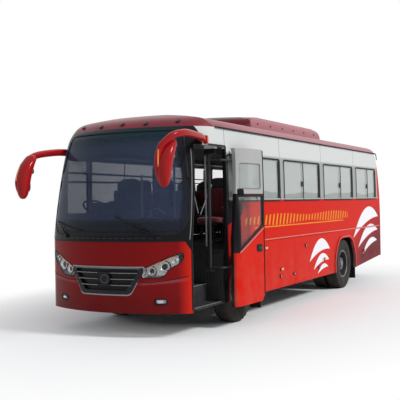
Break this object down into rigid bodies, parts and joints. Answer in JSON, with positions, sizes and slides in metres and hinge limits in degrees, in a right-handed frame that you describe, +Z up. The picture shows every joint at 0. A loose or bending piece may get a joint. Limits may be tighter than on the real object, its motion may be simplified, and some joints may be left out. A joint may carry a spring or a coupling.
{
  "type": "coach bus",
  "caption": "Single-deck coach with a hollow seated cabin, a gooseneck plug door, top-hinged luggage flaps, steered front wheels and twin rear wheels.",
  "frame": {"origin": "on the ground, on the vehicle's centreline, midway between the tail and the mirror heads", "axes": "+X forward, +Y to the vehicle's left (the door side), +Z up"},
  "size_m": [10.4918, 2.8894, 3.33],
  "materials": {
    "body_red": "gloss paint",
    "body_silver": "satin paint",
    "trim_black": "gloss",
    "dark_plastic": "matte",
    "glass": "tinted",
    "lamp_lens": "clear",
    "tail_lens": "clear red",
    "wheel_steel": "satin paint",
    "tyre": "dusty",
    "chassis": "satin paint",
    "cast": "rough",
    "rubber": "matte",
    "floor": "ribbed mat",
    "seat_cloth": "woven",
    "handrail": "satin paint",
    "mirror_red": "gloss",
    "grille_grey": "satin"
  },
  "bodies": {
    "coach_body": {"side_wall_left": "body_red", "side_wall_right": "body_red", "roof_shell": "body_red", "front_mask": "body_red", "front_bumper": "body_red", "windscreen_frame": "trim_black", "windscreen": "glass", "side_windows": "glass", "rear_wall": "body_red", "rear_window": "glass", "floor_deck": "floor", "luggage_bays": "dark_plastic", "mud_flaps": "rubber", "chassis_frame": "chassis", "leaf_springs": "cast", "front_axle_beam": "cast", "rear_axle": "cast", "engine_block": "cast", "headlamps": "lamp_lens", "fog_lamps": "lamp_lens", "tail_lamps": "tail_lens", "grille": "grille_grey", "roof_unit": "body_red", "mirrors": "mirror_red", "wipers": "rubber", "dashboard": "dark_plastic", "driver_seat": "seat_cloth", "passenger_seats": "seat_cloth", "luggage_racks": "dark_plastic", "handrails": "handrail"},
    "knuckle_left": {"knuckle_left": "cast"},
    "knuckle_right": {"knuckle_right": "cast"},
    "tie_rod": {"tie_rod": "cast"},
    "front_wheel_left": {"front_wheel_left": "wheel_steel", "front_tyre_left": "tyre"},
    "front_wheel_right": {"front_wheel_right": "wheel_steel", "front_tyre_right": "tyre"},
    "rear_wheels_left": {"rear_wheels_left": "wheel_steel", "rear_tyres_left": "tyre"},
    "rear_wheels_right": {"rear_wheels_right": "wheel_steel", "rear_tyres_right": "tyre"},
    "door_arms": {"door_arms": "dark_plastic"},
    "door_leaf": {"door_leaf": "body_red", "door_glass": "glass"},
    "luggage_flap_left_front": {"luggage_flap_left_front": "body_red"},
    "luggage_flap_left_rear": {"luggage_flap_left_rear": "body_red"},
    "luggage_flap_right_front": {"luggage_flap_right_front": "body_red"},
    "luggage_flap_right_rear": {"luggage_flap_right_rear": "body_red"},
    "engine_lid": {"engine_lid": "body_red"}
  },
  "joints": [
    {"name": "steer_left", "type": "hinge", "parent": "coach_body", "child": "knuckle_left", "pos_m": [2.799, 0.86, 0.51], "axis": [0, 0, 1], "range_deg": [-38, 38]},
    {"name": "steer_right", "type": "hinge", "parent": "coach_body", "child": "knuckle_right", "pos_m": [2.799, -0.86, 0.51], "axis": [0, 0, 1], "range_deg": [-38, 38]},
    {"name": "tie_rod_turn", "type": "hinge", "parent": "knuckle_left", "child": "tie_rod", "pos_m": [2.619, 0.86, 0.41], "axis": [0, 0, 1], "range_deg": [-38, 38]},
    {"name": "spin_front_left", "type": "hinge", "parent": "knuckle_left", "child": "front_wheel_left", "pos_m": [2.799, 1.02, 0.51], "axis": [0, 1, 0], "continuous": true},
    {"name": "spin_front_right", "type": "hinge", "parent": "knuckle_right", "child": "front_wheel_right", "pos_m": [2.799, -1.02, 0.51], "axis": [0, 1, 0], "continuous": true},
    {"name": "spin_rear_left", "type": "hinge", "parent": "coach_body", "child": "rear_wheels_left", "pos_m": [-2.19, 0.93, 0.51], "axis": [0, 1, 0], "continuous": true},
    {"name": "spin_rear_right", "type": "hinge", "parent": "coach_body", "child": "rear_wheels_right", "pos_m": [-2.19, -0.93, 0.51], "axis": [0, 1, 0], "continuous": true},
    {"name": "door_swing", "type": "hinge", "parent": "coach_body", "child": "door_arms", "pos_m": [3.57, 1.055, 1.7], "axis": [0, 0, -1], "range_deg": [0, 135.93]},
    {"name": "leaf_turn", "type": "hinge", "parent": "door_arms", "child": "door_leaf", "pos_m": [3.18013, 1.335, 1.7], "axis": [0, 0, 1], "range_deg": [0, 138.14]},
    {"name": "open_luggage_flap_left_front", "type": "hinge", "parent": "coach_body", "child": "luggage_flap_left_front", "pos_m": [1.48, 1.254, 1.212], "axis": [1, 0, 0], "range_deg": [0, 85]},
    {"name": "open_luggage_flap_left_rear", "type": "hinge", "parent": "coach_body", "child": "luggage_flap_left_rear", "pos_m": [0.294, 1.254, 1.212], "axis": [1, 0, 0], "range_deg": [0, 85]},
    {"name": "open_luggage_flap_right_front", "type": "hinge", "parent": "coach_body", "child": "luggage_flap_right_front", "pos_m": [1.48, -1.254, 1.212], "axis": [-1, 0, 0], "range_deg": [0, 85]},
    {"name": "open_luggage_flap_right_rear", "type": "hinge", "parent": "coach_body", "child": "luggage_flap_right_rear", "pos_m": [0.294, -1.254, 1.212], "axis": [-1, 0, 0], "range_deg": [0, 85]},
    {"name": "open_engine_lid", "type": "hinge", "parent": "coach_body", "child": "engine_lid", "pos_m": [-5.238, 0, 1.398], "axis": [0, 1, 0], "range_deg": [0, 80]}
  ],
  "couplings": [
    {"joint": "steer_right", "follows": "steer_left", "ratio": 1},
    {"joint": "tie_rod_turn", "follows": "steer_left", "ratio": -1},
    {"joint": "leaf_turn", "follows": "door_swing", "ratio": 1.0162}
  ]
}
